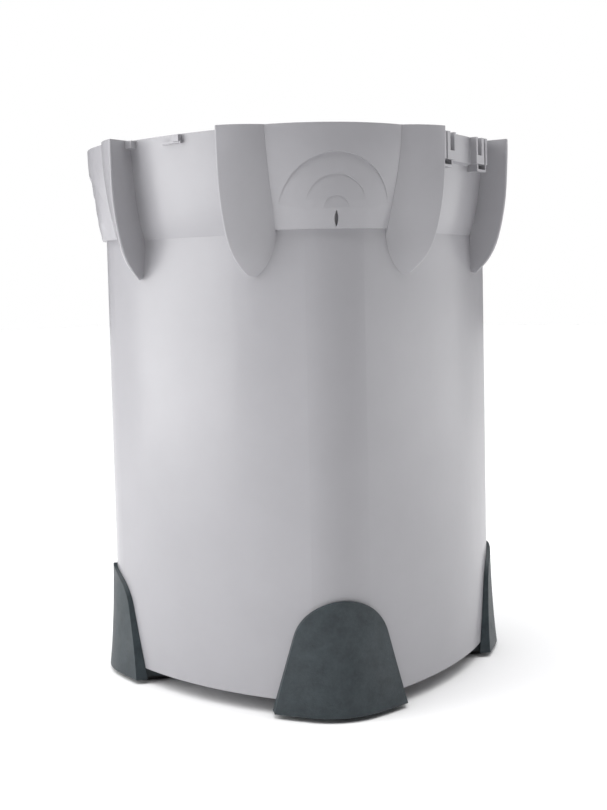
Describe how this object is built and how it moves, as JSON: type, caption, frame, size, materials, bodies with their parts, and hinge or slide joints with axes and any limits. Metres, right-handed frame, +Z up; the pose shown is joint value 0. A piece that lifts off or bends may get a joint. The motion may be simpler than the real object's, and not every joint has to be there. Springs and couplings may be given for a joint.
{
  "type": "aquarium canister filter tub",
  "caption": "Rounded-square canister filter tub with a flared, lugged collar, dark corner foot shoes and a stack of lift-out media baskets.",
  "frame": {"origin": "centre of the footprint, on the surface that the rubber pads stand on", "axes": "+Z up along the tub, +X and +Y square to its flat sides; the latch hooks are on the +X and -X sides"},
  "size_m": [0.2788, 0.2788, 0.3535],
  "materials": {
    "tub": "gloss pale grey",
    "shoe": "fine-textured dark green-grey",
    "pad": "matte black",
    "seal": "soft silicone",
    "screw": "stainless",
    "basket": "satin mid grey",
    "bail": "satin dark green",
    "coarse_foam": "open-cell foam",
    "ceramic_net": "white net over ceramic rings",
    "carbon_net": "black net over carbon grains",
    "bio_ball": "ribbed plastic",
    "fine_foam": "fine-cell foam",
    "floss": "white fibre floss"
  },
  "bodies": {
    "tub": {"tub_shell": "tub", "seal_ring": "seal", "foot_shoe_front": "shoe", "foot_shoe_right": "shoe", "foot_shoe_back": "shoe", "foot_shoe_left": "shoe", "foot_pads": "pad", "foot_screws": "screw"},
    "basket_1": {"basket_1": "basket", "riser_seal_1": "seal", "coarse_foam": "coarse_foam"},
    "basket_2": {"basket_2": "basket", "riser_seal_2": "seal", "ceramic_bag": "ceramic_net", "carbon_bag": "carbon_net"},
    "basket_3": {"basket_3": "basket", "riser_seal_3": "seal", "bio_balls": "bio_ball"},
    "basket_4": {"basket_4": "basket", "riser_seal_4": "seal", "fine_foam": "fine_foam", "floss_pad": "floss"},
    "bail_1": {"bail_1": "bail"},
    "bail_2": {"bail_2": "bail"},
    "bail_3": {"bail_3": "bail"},
    "bail_4": {"bail_4": "bail"},
    "basket_cover": {"basket_cover": "basket"}
  },
  "joints": [
    {"name": "basket_1_lift", "type": "slide", "parent": "tub", "child": "basket_1", "axis": [0, 0, 1], "range_m": [0, 0.335]},
    {"name": "basket_2_lift", "type": "slide", "parent": "basket_1", "child": "basket_2", "axis": [0, 0, 1], "range_m": [0, 0.265]},
    {"name": "basket_3_lift", "type": "slide", "parent": "basket_2", "child": "basket_3", "axis": [0, 0, 1], "range_m": [0, 0.2]},
    {"name": "basket_4_lift", "type": "slide", "parent": "basket_3", "child": "basket_4", "axis": [0, 0, 1], "range_m": [0, 0.13]},
    {"name": "bail_1_swing", "type": "hinge", "parent": "basket_1", "child": "bail_1", "pos_m": [0, 0, 0.068], "axis": [1, 0, 0], "range_deg": [0, 90]},
    {"name": "bail_2_swing", "type": "hinge", "parent": "basket_2", "child": "bail_2", "pos_m": [0, 0, 0.136], "axis": [1, 0, 0], "range_deg": [0, 90]},
    {"name": "bail_3_swing", "type": "hinge", "parent": "basket_3", "child": "bail_3", "pos_m": [0, 0, 0.204], "axis": [1, 0, 0], "range_deg": [0, 90]},
    {"name": "bail_4_swing", "type": "hinge", "parent": "basket_4", "child": "bail_4", "pos_m": [0, 0, 0.272], "axis": [1, 0, 0], "range_deg": [0, 90]},
    {"name": "cover_lift", "type": "slide", "parent": "basket_4", "child": "basket_cover", "axis": [0, 0, 1], "range_m": [0, 0.09]}
  ]
}
